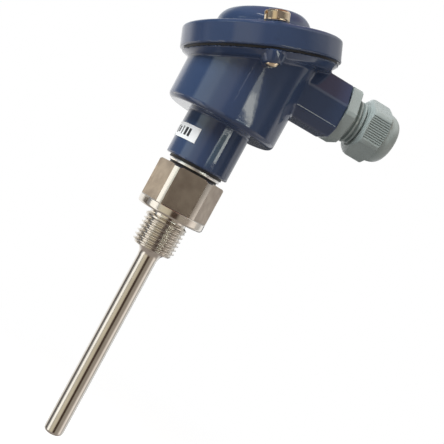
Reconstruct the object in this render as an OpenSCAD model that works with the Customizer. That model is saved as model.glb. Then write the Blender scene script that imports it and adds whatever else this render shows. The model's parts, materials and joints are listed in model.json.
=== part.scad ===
// Resistance thermometer with a slant-lid connection head.
// The origin is the centre of the sealing face under the fitting's collar.
// +Z runs up the probe's axis to the head, and +X points to the cable gland.

/* [Probe] */
// Outer diameter of the probe tube
tube_d = 6; // [4:0.1:7]
// Wall of the probe tube
tube_wall = 0.5; // [0.3:0.05:0.7]
// Length from the sealing face down to the tip
immersion = 72.5; // [50:0.5:150]
// Radius of the tip's rounded edge
tip_r = 1.1; // [0.4:0.1:1.5]
// How far the tube reaches up inside the fitting
tube_top = 8; // [5:0.5:10]
// Thickness of the tube's closed end
tip_wall = 1; // [0.6:0.1:2]

/* [Sensing element] */
// Diameter of the resistance element
element_d = 2.8; // [1.6:0.1:3]
// Length of the resistance element
element_len = 15; // [5:1:25]
// Diameter of one lead wire
wire_d = 0.6; // [0.3:0.05:0.8]
// Distance of each lead wire from the probe's axis
wire_pcr = 1.2; // [1:0.05:1.4]
// Length of the potting plug in the open end of the tube
seal_len = 2.4; // [1:0.1:4]

/* [Process fitting] */
// Major diameter of the process thread (G 1/4)
thread_d = 13.157; // [10:0.001:17]
// Length of the threaded end below the sealing face
thread_len = 11; // [8:0.5:20]
// Chamfer at the start of the thread
thread_chamfer = 0.9; // [0.3:0.1:1.5]
// Diameter of the bar that the fitting is turned from
bar_d = 21; // [20:0.1:21.8]
// Height of the round collar under the hexagon
collar_h = 2.5; // [1.5:0.1:5]
// Chamfer round the collar's lower edge
collar_chamfer = 0.4; // [0.2:0.1:1]
// Width across the flats of the hexagon
hex_af = 19; // [18.4:0.1:19.4]
// How far the hexagon is turned from facing the front, in degrees
hex_turn = -5; // [-30:1:30]
// Height of the hexagon
hex_h = 11.8; // [8:0.1:16]
// Height of the chamfer on the hexagon's upper corners
hex_chamfer = 0.4; // [0.3:0.1:1.2]
// Diameter of the shoulder between hexagon and neck
shoulder_d = 16.2; // [16.1:0.1:18]
// Height of that shoulder
shoulder_h = 1.6; // [1:0.1:4]
// Diameter of the nipple that screws into the neck
nipple_d = 16; // [14:0.1:16]
// Length of the nipple above the shoulder
nipple_len = 9.2; // [6:0.1:12]
// Diameter of the wire channel in the nipple
nipple_bore = 9.2; // [8:0.1:10]

/* [Neck and housing] */
// Diameter of the neck
neck_d = 19.8; // [19.6:0.1:21]
// Length of the neck below the housing
neck_len = 14.2; // [13:0.1:18]
// Thickness of the gasket under the neck
neck_gasket_t = 0.7; // [0.4:0.1:1]
// Diameter of the housing at its foot
housing_d = 34.4; // [34.2:0.1:36]
// Draft of the housing's side, in degrees
housing_draft = 0.5; // [0:0.1:1]
// Radius of the rounded edge at the housing's foot
foot_r = 1.6; // [0.5:0.1:2]
// Diameter of the wiring space
cavity_d = 30.4; // [30.2:0.1:30.8]
// Thickness of the housing's floor
floor_t = 2.5; // [2.2:0.1:3]
// Diameter of the wire channel from the neck into the wiring space
channel_d = 9; // [8:0.1:9.1]

/* [Lid] */
// Slant of the lid, in degrees, rising to the gland
lid_tilt = 23; // [15:0.5:25]
// Height of the lid's sealing plane on the probe's axis
lid_z = 53.3; // [52:0.1:58]
// Offset of the lid's centre up the slant
lid_shift = 1.2; // [0:0.1:2]
// Diameter of the lid
lid_d = 47.2; // [47:0.1:50]
// Height of the lid's rim
rim_h = 6.2; // [5:0.05:8]
// Radius of the rim's upper edge
rim_r = 1.2; // [0.5:0.1:1.5]
// Draft of the rim, as the loss of radius over its height
rim_draft = 0.15; // [0:0.05:0.4]
// Thickness of the lid's plate
lid_wall = 2.3; // [1.5:0.1:3]
// Diameter of the dome at its base
dome_d = 28.2; // [20:0.1:29]
// Height of the dome above the rim
dome_h = 6.8; // [3:0.05:8]
// Radius of the dome's shoulder
dome_r = 3.6; // [1:0.1:3.9]
// Diameter of the recess under the lid
recess_d = 32.6; // [30:0.1:33]
// Thickness of the lid gasket
lid_gasket_t = 0.6; // [0.4:0.1:1]
// Width of gasket between a screw's hole and the opening
gasket_land = 1.7; // [1:0.1:1.7]
// How far the flange stands back from the lid's edge
flange_inset = 0.7; // [0.6:0.1:1]
// How far the flange's lower edge stands back from its upper one
flange_taper = 2.4; // [1.2:0.1:2.8]
// Depth of the flange below the lid's sealing plane
flange_h = 2.6; // [2:0.1:4]

/* [Lid screws] */
// Distance of each lid screw from the lid's edge
screw_inset = 4; // [3.9:0.05:4.1]
// Angle between the line through both screws and the lid's cross axis, in degrees
screw_turn = -3.2; // [-10:0.1:10]
// Direction of the front screw's slot, in degrees
front_slot = 20; // [0:1:180]
// Direction of the rear screw's slot, in degrees
rear_slot = 25; // [0:1:180]
// Diameter of a lid screw's thread
screw_d = 4; // [3:0.1:4]
// Diameter of a lid screw's head
screw_head_d = 7; // [6:0.1:7.2]
// Height of a lid screw's head
screw_head_h = 3.1; // [2:0.1:4]
// Width of the screwdriver slot
slot_w = 1.1; // [0.8:0.1:1.4]
// Depth of the screwdriver slot
slot_depth = 1.3; // [0.8:0.1:1.8]
// Height of the pad under a lid screw's head
pad_h = 0.5; // [0.2:0.1:0.8]
// Diameter of a screw lug
lug_d = 7.6; // [7:0.1:7.8]
// Length of the round part of a lug below the lid's plane
lug_len = 1.6; // [1.2:0.1:5]
// Length of the tapered end of a lug
lug_taper = 2.8; // [1:0.1:3.2]
// How far a lid screw sticks out of its lug
screw_tip = 0.5; // [0.2:0.1:1]

/* [Cable entry] */
// Height of the cable entry above the sealing face
entry_z = 51.3; // [50.8:0.1:52]
// Distance of the boss's end face from the probe's axis
boss_x = 29.4; // [29:0.1:36]
// Width of the boss from front to rear
boss_w = 17.2; // [16.6:0.1:17.6]
// Height of the boss
boss_h = 17.2; // [16.6:0.1:17.4]
// Width of the flat along the boss's top
boss_top_w = 8; // [6:0.1:10]
// Drop of the sloping faces beside the top
boss_slope = 7.1; // [6:0.1:8]
// Width of the flat along the boss's bottom
boss_low_w = 11.2; // [9:0.1:13]
// Rise of the sloping faces beside the bottom
boss_rise = 2.6; // [2:0.1:4]
// Diameter of the gland's thread
gland_thread_d = 13.6; // [12:0.1:13.8]
// Length of the thread inside the boss
gland_thread_len = 9.6; // [6:0.1:10]
// Thickness of the gasket between boss and gland
gland_gasket_t = 0.6; // [0.4:0.1:1]
// Width across the flats of the gland's hex collar
gland_af = 17; // [16:0.1:18]
// Length of the gland's hex collar
gland_collar_len = 2.8; // [2:0.1:4]
// Length of thread that shows between collar and dome nut
gland_gap = 4.1; // [1:0.1:4.5]
// Diameter of the passage through the gland's body
gland_bore = 9.8; // [9:0.1:10]
// Number of clamping fingers
finger_count = 6; // [4:1:8]
// Width of the slots between the fingers
finger_slot = 0.9; // [0.6:0.1:1.2]
// Bore of the rubber seal
seal_bore = 6.4; // [5:0.1:7]
// Length of the rubber seal
seal_sleeve_len = 7.6; // [6:0.1:8]

/* [Dome nut] */
// Width across the flats of the dome nut
nut_af = 16.8; // [16.4:0.1:18]
// Length of the nut's hexagon
nut_hex_len = 6.7; // [5:0.1:8]
// Length of the nut's domed end
nut_dome_len = 5.1; // [4.8:0.1:6]
// Step from the nut's flats in to its dome
nut_step = 0.4; // [0.1:0.1:0.8]
// Diameter of the nut's end face
nut_face_d = 10; // [9.6:0.1:11]
// Diameter of the hole in the nut's end
nut_hole_d = 8.8; // [8:0.1:9]
// Number of grooves on a ribbed face
groove_count = 11; // [6:1:12]
// Distance between grooves
groove_pitch = 0.7; // [0.5:0.02:0.7]
// Width of a groove
groove_w = 0.3; // [0.15:0.05:0.4]
// Depth of a groove
groove_depth = 0.25; // [0.1:0.05:0.3]

/* [Terminals] */
// Diameter of the ceramic terminal block
block_d = 19.2; // [18.4:0.1:19.4]
// Height of the terminal block
block_h = 6; // [5:0.1:7]
// Height of the pads that the block stands on
block_pad_h = 1.8; // [1:0.1:3]
// Diameter of the wire hole in the block
block_bore = 4.6; // [4:0.1:5]
// Distance of each terminal from the block's centre
terminal_pcr = 5.9; // [5.8:0.05:6.2]
// Length of a terminal along its radius
terminal_len = 4.4; // [3.6:0.1:4.6]
// Width of a terminal
terminal_w = 4; // [3:0.1:4.4]
// Height of a terminal above the block
terminal_h = 3.2; // [3:0.1:4]
// Depth of the pocket that a terminal sits in
pocket_depth = 0.6; // [0.3:0.1:1]
// Radius of the bend in a lead wire
wire_bend = 1.4; // [1:0.1:2]
// Distance of each block screw from the block's centre
block_screw_pcr = 7.2; // [7:0.05:7.3]
// Diameter of the small screws' threads
small_screw_d = 2.5; // [2:0.1:2.6]
// Diameter of the small screws' heads
small_head_d = 3.8; // [3.4:0.1:4.2]
// Height of the small screws' heads
small_head_h = 1.6; // [1:0.1:2]
// Distance of the earth screw from the probe's axis
earth_pcr = 12.4; // [12.3:0.05:12.5]
// Height of the earth screw's boss above the floor
earth_boss_h = 3.3; // [2:0.1:5]
// Diameter of the earth screw's thread
earth_screw_d = 2.9; // [2:0.1:3]
// Diameter of the earth screw's head
earth_head_d = 5; // [4.4:0.1:5.2]
// Thickness of the earth washer
earth_washer_t = 0.6; // [0.4:0.1:1]

/* [Label] */
// Height of the label
label_h = 4.5; // [4:0.1:8]
// Height of the label's lower edge above the neck's foot
label_low = 5.1; // [3:0.1:6]
// Direction of the label's right edge, in degrees from +X
label_from = 240; // [200:1:260]
// How far the label wraps round the neck, in degrees
label_wrap = -96; // [-120:1:-40]
// Thickness of the label
label_t = 0.12; // [0.08:0.02:0.3]

/* [Hidden] */
$fn = 96;

// Clearances between mating pieces, on the radius or per side
fit = 0.03;
run_fit = 0.05;
loose_fit = 0.3;
hair = 0.05;
// Overlap that makes a cut or a join clean
eps = 0.5;

wire_count = 4;
navy = [0.09, 0.12, 0.25];
steel = [0.75, 0.74, 0.70];
brass = [0.80, 0.66, 0.38];
nylon = [0.56, 0.61, 0.57];
black = [0.08, 0.08, 0.08];
ceramic = [0.90, 0.88, 0.82];

// Heights up the probe's axis
hex_z = collar_h;
shoulder_z = hex_z + hex_h;
shoulder_top = shoulder_z + shoulder_h;
neck_z = shoulder_top + neck_gasket_t;
nipple_top = shoulder_top + nipple_len;
housing_z = neck_z + neck_len;
floor_z = housing_z + floor_t;
block_z = floor_z + block_pad_h;
block_top = block_z + block_h;
terminal_top = block_top + terminal_h;
wire_z = block_top + terminal_h / 2;
earth_top = floor_z + earth_boss_h;
tip_z = -immersion;
element_z = tip_z + tip_wall;
element_top = element_z + element_len;
seal_z = tube_top - seal_len;

// Radii
tube_r = tube_d / 2;
tube_bore_r = tube_r - tube_wall;
thread_r = thread_d / 2;
bar_r = bar_d / 2;
neck_r = neck_d / 2;
housing_r = housing_d / 2;
cavity_r = cavity_d / 2;
lid_r = lid_d / 2;
flange_r = lid_r - flange_inset;
screw_pcr = lid_r - screw_inset;
gasket_bore_r = screw_pcr - screw_d / 2 - loose_fit - gasket_land;
wire_r = wire_d / 2;

// Stations along the cable entry's axis
gasket_x = boss_x + gland_gasket_t;
gap_x = gasket_x + gland_collar_len;
nut_x = gap_x + gland_gap;
dome_x = nut_x + nut_hex_len;
nut_end = dome_x + nut_dome_len;
nut_web = 1.4;
corner_trim = 1.115;
nut_corner_r = nut_af / 2 * corner_trim;
dome_foot_r = nut_af / 2 - nut_step;
dome_foot_x = dome_x + 0.7;
gland_r = gland_thread_d / 2;
gland_inner_x = gasket_x - gland_gasket_t - gland_thread_len;
finger_r = gland_r - 0.7;
finger_len = 4.6;
seal_seat_x = nut_end - nut_web - loose_fit - seal_sleeve_len;
finger_x = nut_end - nut_web - loose_fit - finger_len - hair;

// Places children in the lid's own frame: the sealing plane is z = 0.
module on_lid() {
    translate([0, 0, lid_z])
        rotate([0, -lid_tilt, 0])
            translate([lid_shift, 0, 0])
                children();
}

// Places children on the cable entry's axis, with z running outwards.
module on_entry(x) {
    translate([x, 0, entry_z])
        rotate([0, 90, 0])
            children();
}

// A round bar from height a to height b.
module rod(r, a, b) {
    translate([0, 0, a])
        cylinder(r = r, h = b - a);
}

// A hexagonal bar with two corners on the Y axis of its own frame.
module hex_bar(af, a, b) {
    translate([0, 0, a])
        rotate(30)
            cylinder(d = af / cos(30), h = b - a, $fn = 6);
}

// Points of an arc, for the rounded edges of turned profiles.
function arc(cx, cy, r, from, to, steps = 8) =
    [for (i = [0 : steps]) let (a = from + (to - from) * i / steps) [cx + r * cos(a), cy + r * sin(a)]];

// Holes for the lead wires, from height a to height b.
module wire_holes(clearance, a, b) {
    for (i = [0 : wire_count - 1])
        rotate(45 + 90 * i)
            translate([wire_pcr, 0, 0])
                rod(wire_r + clearance, a, b);
}

// Places children at both lid screws, in the lid's frame.
module at_lid_screws() {
    for (side = [-1, 1])
        rotate(screw_turn)
            translate([0, side * screw_pcr, 0])
                children();
}

// Places children at both block screws.
module at_block_screws() {
    for (side = [-1, 1])
        translate([side * block_screw_pcr, 0, 0])
            children();
}

// The housing with its neck, as one turned profile. It is cut off by the slant.
module housing_shell() {
    top = lid_z + lid_r;
    top_r = housing_r + (top - housing_z) * tan(housing_draft);
    rotate_extrude()
        polygon(concat(
            [[0, neck_z], [neck_r, neck_z], [neck_r, housing_z]],
            arc(housing_r - foot_r, housing_z + foot_r, foot_r, -90, 0),
            [[top_r, top], [0, top]]));
}

// The flange that carries the lid, in the lid's frame.
module flange() {
    edge = lid_gasket_t + 0.3;
    rotate_extrude()
        polygon([[0, -flange_h], [flange_r - flange_taper, -flange_h], [flange_r, -edge],
                 [flange_r, -lid_gasket_t], [0, -lid_gasket_t]]);
}

// One lug under the flange, with a tapered foot.
module lug() {
    rod(lug_d / 2, -lug_len, -lid_gasket_t);
    translate([0, 0, -lug_len - lug_taper])
        cylinder(r1 = lug_d / 2 - 1.2, r2 = lug_d / 2, h = lug_taper);
}

// The boss for the cable gland: square below, with long slopes beside its top.
module boss() {
    start = cavity_r - 4;
    translate([start, 0, entry_z])
        rotate([90, 0, 90])
            linear_extrude(boss_x - start)
                polygon([[boss_top_w / 2, boss_h / 2], [boss_w / 2, boss_h / 2 - boss_slope],
                         [boss_w / 2, -boss_h / 2 + boss_rise], [boss_low_w / 2, -boss_h / 2],
                         [-boss_low_w / 2, -boss_h / 2], [-boss_w / 2, -boss_h / 2 + boss_rise],
                         [-boss_w / 2, boss_h / 2 - boss_slope], [-boss_top_w / 2, boss_h / 2]]);
}

// Everything that is cast in one piece.
module head_body() color(navy)
    difference() {
        union() {
            difference() {
                union() {
                    difference() {
                        union() {
                            housing_shell();
                            boss();
                        }
                        on_lid()
                            rod(2 * lid_r, -flange_h / 2, 2 * lid_r);
                    }
                    on_lid() {
                        flange();
                        at_lid_screws()
                            lug();
                    }
                }
                rod(cavity_r, floor_z, lid_z + lid_r);
            }
            at_block_screws()
                rod(2.5, floor_z - eps, block_z);
            translate([0, earth_pcr, 0])
                rod(2.3, floor_z - eps, earth_top);
            translate([-1.2, earth_pcr, floor_z - eps])
                cube([2.4, cavity_r - earth_pcr + eps, earth_boss_h + eps]);
        }
        rod(nipple_d / 2 + fit, neck_z - eps, nipple_top + loose_fit);
        rod(channel_d / 2, nipple_top, floor_z + eps);
        on_entry(0)
            rod(gland_r + fit, cavity_r - 5, boss_x + eps);
        on_lid()
            at_lid_screws()
                rod(screw_d / 2 + run_fit, -lug_len - lug_taper - 2 * eps, eps);
        at_block_screws()
            rod(small_screw_d / 2 + fit, floor_z - floor_t / 2, block_z + eps);
        translate([0, earth_pcr, 0])
            rod(earth_screw_d / 2 + fit, floor_z - floor_t / 2, earth_top + eps);
    }

// The lid's outer profile, with rounded rim and dome.
module lid_profile() {
    rim_top_r = lid_r - rim_draft;
    dome_top = rim_h + dome_h;
    dome_side = dome_d / 2 - 0.4;
    crown = 0.5;
    polygon(concat(
        [[0, 0], [lid_r - 0.4, 0], [lid_r, 0.4]],
        arc(rim_top_r - rim_r, rim_h - rim_r, rim_r, 0, 90),
        [[dome_d / 2, rim_h]],
        arc(dome_side - dome_r, dome_top - crown - dome_r, dome_r, 0, 84),
        [[0, dome_top]]));
}

module lid() color(navy)
    on_lid()
        difference() {
            union() {
                rotate_extrude()
                    lid_profile();
                at_lid_screws()
                    rod(screw_head_d / 2 + 0.3, rim_h / 2, rim_h + pad_h);
            }
            rod(recess_d / 2, -eps, rim_h - lid_wall);
            rod(dome_d / 2 - lid_wall, 0, rim_h + dome_h - lid_wall - 1);
            at_lid_screws()
                rod(screw_d / 2 + loose_fit, -eps, rim_h + pad_h + eps);
        }

// A slotted cheese-head screw whose head stands on z = 0.
module cheese_screw(d, len, head_d, head_h, slot, depth) {
    edge = 0.35;
    difference() {
        union() {
            rod(head_d / 2, 0, head_h - edge);
            translate([0, 0, head_h - edge])
                cylinder(r1 = head_d / 2, r2 = head_d / 2 - edge, h = edge);
            rod(d / 2, -len, eps / 2);
        }
        translate([-head_d, -slot / 2, head_h - depth])
            cube([2 * head_d, slot, depth + eps]);
    }
}

// The lid screw on one side: -1 is the front, 1 is the rear.
module lid_screw(side, turn) {
    on_lid()
        rotate(screw_turn)
            translate([0, side * screw_pcr, rim_h + pad_h])
                rotate(turn)
                    cheese_screw(screw_d, rim_h + pad_h + lug_len + lug_taper + screw_tip,
                                 screw_head_d, screw_head_h, slot_w, slot_depth);
}

module lid_screw_front() color(brass)
    lid_screw(-1, front_slot);

module lid_screw_rear() color(brass)
    lid_screw(1, rear_slot);

// Flat ring between flange and lid, open over the wiring space.
module lid_gasket() color(black)
    difference() {
        on_lid()
            difference() {
                rod(flange_r - 0.6, -lid_gasket_t, 0);
                at_lid_screws()
                    rod(screw_d / 2 + loose_fit, -lid_gasket_t - eps, eps);
            }
        rod(gasket_bore_r, floor_z, lid_z + lid_r);
    }

module neck_gasket() color(black)
    difference() {
        rod(shoulder_d / 2 + 0.35, shoulder_top, neck_z);
        rod(nipple_d / 2 + fit, shoulder_top - eps, neck_z + eps);
    }

// Thread, collar, hexagon, shoulder and nipple, turned and milled from one bar.
module process_fitting() color(steel)
    difference() {
        union() {
            rotate_extrude()
                polygon([[0, -thread_len], [thread_r - thread_chamfer, -thread_len],
                         [thread_r, -thread_len + thread_chamfer],
                         [thread_r, 0],
                         [bar_r - collar_chamfer, 0], [bar_r, collar_chamfer],
                         [bar_r, collar_h], [0, collar_h]]);
            intersection() {
                rotate_extrude()
                    polygon([[0, hex_z - eps], [bar_r, hex_z - eps],
                             [bar_r, shoulder_z - hex_chamfer / 2],
                             [bar_r - hex_chamfer, shoulder_z], [0, shoulder_z]]);
                rotate(30 + hex_turn)
                    hex_bar(hex_af, hex_z - eps, shoulder_z);
            }
            rod(shoulder_d / 2, shoulder_z - eps, shoulder_top);
            rod(nipple_d / 2, shoulder_top - eps, nipple_top);
        }
        rod(tube_r + fit, -thread_len - eps, tube_top + eps);
        rod(nipple_bore / 2, tube_top, nipple_top + eps);
    }

module probe_tube() color(steel)
    difference() {
        rotate_extrude()
            polygon(concat(
                [[0, tube_top], [0, tip_z]],
                arc(tube_r - tip_r, tip_z + tip_r, tip_r, -90, 0),
                [[tube_r, tube_top]]));
        rod(tube_bore_r, element_z, tube_top + eps);
    }

// Cement that fixes the element in the tube's tip.
module tip_filler() color([0.86, 0.84, 0.78])
    difference() {
        rod(tube_bore_r - fit, element_z, element_top);
        rod(element_d / 2 + fit, element_z - eps, element_top + eps);
    }

module rtd_element() color(ceramic)
    rod(element_d / 2, element_z, element_top);

// Ceramic rod with one bore for each lead wire.
module insulator_rod() color(ceramic)
    difference() {
        rod(tube_bore_r - hair, element_top, seal_z);
        wire_holes(hair, element_top - eps, seal_z + eps);
    }

// Potting that closes the tube round the wires.
module tube_seal() color([0.20, 0.14, 0.10])
    difference() {
        rod(tube_bore_r - fit, seal_z, tube_top);
        wire_holes(fit, seal_z - eps, tube_top + eps);
    }

// One wire: up from the element, a bend, and out into its terminal.
module lead_wire() {
    wire_end = terminal_pcr - 0.5;
    translate([wire_pcr, 0, 0])
        rod(wire_r, element_top, wire_z - wire_bend);
    translate([wire_pcr + wire_bend, 0, wire_z - wire_bend])
        rotate([90, 0, 0])
            rotate(90)
                rotate_extrude(angle = 90, $fn = 48)
                    translate([wire_bend, 0])
                        circle(r = wire_r, $fn = 24);
    translate([wire_pcr + wire_bend, 0, wire_z])
        rotate([0, 90, 0])
            cylinder(r = wire_r, h = wire_end - wire_pcr - wire_bend);
}

module lead_wires() color([0.80, 0.30, 0.22])
    for (i = [0 : wire_count - 1])
        rotate(45 + 90 * i)
            lead_wire();

module terminal_block() color(ceramic)
    difference() {
        union() {
            rod(block_d / 2, block_z, block_top - 0.5);
            translate([0, 0, block_top - 0.5])
                cylinder(r1 = block_d / 2, r2 = block_d / 2 - 0.5, h = 0.5);
        }
        rod(block_bore / 2, block_z - eps, block_top + eps);
        for (i = [0 : wire_count - 1])
            rotate(45 + 90 * i)
                translate([terminal_pcr - terminal_len / 2 - hair, -terminal_w / 2 - hair,
                           block_top - pocket_depth])
                    cube([terminal_len + 2 * hair, terminal_w + 2 * hair, pocket_depth + eps]);
        at_block_screws() {
            rod(small_screw_d / 2 + run_fit, block_z - eps, block_top + eps);
            rod(small_head_d / 2 + hair, block_top - small_head_h, block_top + eps);
        }
    }

// Brass blocks with a wire hole along the radius and a screw hole from above.
module terminals() color(brass)
    for (i = [0 : wire_count - 1])
        rotate(45 + 90 * i)
            difference() {
                translate([terminal_pcr - terminal_len / 2, -terminal_w / 2, block_top - pocket_depth])
                    cube([terminal_len, terminal_w, terminal_h + pocket_depth]);
                translate([0, 0, wire_z])
                    rotate([0, 90, 0])
                        cylinder(r = wire_r + hair, h = terminal_pcr + terminal_len);
                translate([terminal_pcr, 0, 0])
                    rod(small_screw_d / 2 + fit, wire_z, terminal_top + eps);
            }

module terminal_screws() color(steel)
    for (i = [0 : wire_count - 1])
        rotate(45 + 90 * i)
            translate([terminal_pcr, 0, terminal_top])
                rotate(20 + 35 * i)
                    cheese_screw(small_screw_d, terminal_top - wire_z - wire_r - 0.02,
                                 small_head_d, small_head_h, 0.6, 0.7);

module block_screws() color(steel)
    at_block_screws()
        translate([0, 0, block_top - small_head_h])
            rotate(40)
                cheese_screw(small_screw_d, block_h - small_head_h + block_pad_h + floor_t / 2 - 0.2,
                             small_head_d, small_head_h, 0.6, 0.7);

module earth_screw() color(steel)
    translate([0, earth_pcr, earth_top + earth_washer_t])
        rotate(60)
            cheese_screw(earth_screw_d, earth_washer_t + earth_boss_h + floor_t / 2 - 0.2,
                         earth_head_d, 1.9, 0.8, 0.9);

module earth_washer() color(brass)
    translate([0, earth_pcr, 0])
        difference() {
            rod(earth_head_d / 2 + 0.05, earth_top, earth_top + earth_washer_t);
            rod(earth_screw_d / 2 + hair, earth_top - eps, earth_top + earth_washer_t + eps);
        }

module type_label() color([0.95, 0.95, 0.96])
    rotate(label_from)
        translate([0, 0, neck_z + label_low])
            rotate_extrude(angle = label_wrap)
                translate([neck_r, 0])
                    square([label_t, label_h]);

// Gland body: thread, hex collar, thread for the nut, and clamping fingers.
module gland_body() color(nylon)
    on_entry(0)
        difference() {
            union() {
                rod(gland_r, gland_inner_x, finger_x);
                intersection() {
                    hex_bar(gland_af, gasket_x, gap_x);
                    rod(gland_af / 2 * corner_trim, gasket_x, gap_x);
                }
                rod(finger_r, finger_x - eps, finger_x + finger_len - 1.2);
                translate([0, 0, finger_x + finger_len - 1.2])
                    cylinder(r1 = finger_r, r2 = finger_r - 0.5, h = 1.2);
            }
            rod(gland_bore / 2, gland_inner_x - eps, seal_seat_x + eps);
            rod(gland_bore / 2 + 0.2, seal_seat_x, nut_end);
            for (i = [0 : finger_count - 1])
                rotate(360 / finger_count * i)
                    translate([0, -finger_slot / 2, finger_x + hair])
                        cube([gland_r + 1, finger_slot, finger_len + eps]);
        }

module gland_o_ring() color(black)
    on_entry(0)
        difference() {
            rod(gland_af / 2 - 0.3, boss_x, gasket_x);
            rod(gland_r + fit, boss_x - eps, gasket_x + eps);
        }

module gland_seal() color(black)
    on_entry(0)
        difference() {
            rod(gland_bore / 2 + 0.2 - hair, seal_seat_x, seal_seat_x + seal_sleeve_len);
            rod(seal_bore / 2, seal_seat_x - eps, seal_seat_x + seal_sleeve_len + eps);
        }

// The nut's outer form turned to a dome, which trims the hexagon.
module nut_form() {
    rotate_extrude()
        polygon(concat(
            [[0, nut_x], [nut_corner_r - 0.5, nut_x], [nut_corner_r, nut_x + 0.5],
             [nut_corner_r, dome_x]],
            [for (i = [0 : 8]) let (a = 90 * i / 9)
                [nut_face_d / 2 + (dome_foot_r - nut_face_d / 2) * cos(a),
                 dome_foot_x + (nut_end - dome_foot_x) * sin(a)]],
            [[nut_face_d / 2 - 0.3, nut_end], [0, nut_end]]));
}

// Fine grooves along one flat of the nut.
module face_grooves() {
    for (k = [0 : groove_count - 1])
        translate([nut_af / 2 - groove_depth, (k - (groove_count - 1) / 2) * groove_pitch - groove_w / 2,
                   nut_x + 0.8])
            cube([groove_depth + eps, groove_w, nut_hex_len - 0.4]);
}

// Dome nut. Every other face is ribbed, and one of them faces the front.
module gland_nut() color(nylon)
    on_entry(0)
        difference() {
            intersection() {
                nut_form();
                rotate(30)
                    hex_bar(nut_af, nut_x, nut_end);
            }
            rod(gland_r + run_fit, nut_x - eps, finger_x + loose_fit);
            rod(finger_r + loose_fit, finger_x, nut_end - nut_web);
            rod(nut_hole_d / 2, nut_x, nut_end + eps);
            for (face = [0 : 2])
                rotate(-90 + 120 * face)
                    face_grooves();
        }

head_body();
lid();
lid_screw_front();
lid_screw_rear();
lid_gasket();
neck_gasket();
process_fitting();
probe_tube();
tip_filler();
rtd_element();
insulator_rod();
tube_seal();
lead_wires();
terminal_block();
terminals();
terminal_screws();
block_screws();
earth_screw();
earth_washer();
type_label();
gland_body();
gland_o_ring();
gland_seal();
gland_nut();
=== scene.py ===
"""Looks of a resistance thermometer with a slant-lid connection head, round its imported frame.

Forms are worked out in millimetres and become metres where a mesh is made.
"""

import json
import math

import bpy
import numpy as np
from mathutils import Matrix, Vector


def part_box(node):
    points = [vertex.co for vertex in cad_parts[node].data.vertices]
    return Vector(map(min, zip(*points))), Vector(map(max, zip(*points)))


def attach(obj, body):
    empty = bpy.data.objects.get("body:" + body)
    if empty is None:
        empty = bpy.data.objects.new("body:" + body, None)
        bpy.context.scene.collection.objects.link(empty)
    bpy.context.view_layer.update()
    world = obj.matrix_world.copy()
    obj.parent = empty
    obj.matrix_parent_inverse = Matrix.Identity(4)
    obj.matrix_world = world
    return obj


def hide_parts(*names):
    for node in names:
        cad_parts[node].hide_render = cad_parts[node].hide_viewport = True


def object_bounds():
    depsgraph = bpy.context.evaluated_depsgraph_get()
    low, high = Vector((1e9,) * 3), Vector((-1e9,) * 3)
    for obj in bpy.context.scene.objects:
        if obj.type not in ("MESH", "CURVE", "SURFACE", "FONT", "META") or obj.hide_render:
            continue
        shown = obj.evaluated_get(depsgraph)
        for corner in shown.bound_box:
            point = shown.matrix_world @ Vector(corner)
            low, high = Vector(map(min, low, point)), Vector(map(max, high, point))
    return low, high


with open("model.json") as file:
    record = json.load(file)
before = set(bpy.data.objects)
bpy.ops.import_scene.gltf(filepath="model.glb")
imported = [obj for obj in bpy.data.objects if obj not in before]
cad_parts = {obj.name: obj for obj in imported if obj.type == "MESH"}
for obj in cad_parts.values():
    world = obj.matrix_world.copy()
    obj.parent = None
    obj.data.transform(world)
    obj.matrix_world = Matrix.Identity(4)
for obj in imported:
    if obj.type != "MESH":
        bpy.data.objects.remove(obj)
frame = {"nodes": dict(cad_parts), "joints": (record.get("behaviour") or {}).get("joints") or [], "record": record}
cad_low, cad_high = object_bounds()
MM = 0.001


# ---------------- sizes from the frame

def span(node):
    """Lowest and highest corner of a CAD node, in millimetres."""
    low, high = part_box(node)
    return np.array(low) / MM, np.array(high) / MM


def joint(name):
    """One joint of the frame."""
    return next(j for j in frame["joints"] if j["name"] == name)


def mount(name):
    """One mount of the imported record."""
    return next(m for m in frame["record"]["mounts"] if m["name"] == name)


fitting_low, fitting_high = span("process_fitting")
tube_high = span("probe_tube")[1]
gasket_low, gasket_high = span("neck_gasket")
head_low, head_high = span("head_body")
ring_low, ring_high = span("gland_o_ring")
body_low = span("gland_body")[0]
nut_low, nut_high = span("gland_nut")
seal_low = span("gland_seal")[0]
label_low, label_high = span("type_label")
FIT = 0.03

# Process fitting, from the sealing face at z = 0 upwards
THREAD_R = mount("process_thread")["dims"]["r_mm"]
THREAD_PITCH = 1.337
THREAD_DEPTH = 0.80
THREAD_CHAMFER = 0.95
THREAD_FADE = 0.9
THREAD_ROOT, THREAD_FLANK = 0.12, 0.74
THREAD_END = -1.9
THREAD_STEP = 0.05
RELIEF_Z = -1.6
RELIEF_R = THREAD_R - 0.85
RELIEF_RISE = 0.55
TUBE_R = tube_high[0]
BAR_R = fitting_high[0]
COLLAR_H = 2.5
COLLAR_CHAMFER = 0.5
COLLAR_EDGE_R = BAR_R - 0.08
COLLAR_EDGE = 0.12
HEX_AF = 19.0
HEX_TURN = -5.0  # degrees
HEX_TOP = 14.3
HEX_CHAMFER = 0.4
SHOULDER_R = 8.1
SHOULDER_TOP = gasket_low[2]
SHOULDER_EDGE = 0.12
GROOVE_R = SHOULDER_R - 0.5
GROOVE_TOP = HEX_TOP + 0.75
WELD_R = 4.5
WELD_H = 2.6
WELD_FOOT = 0.1
WELD_CURVE = 2.4
NIPPLE_R = 8.0
NIPPLE_BORE = 4.6

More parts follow.
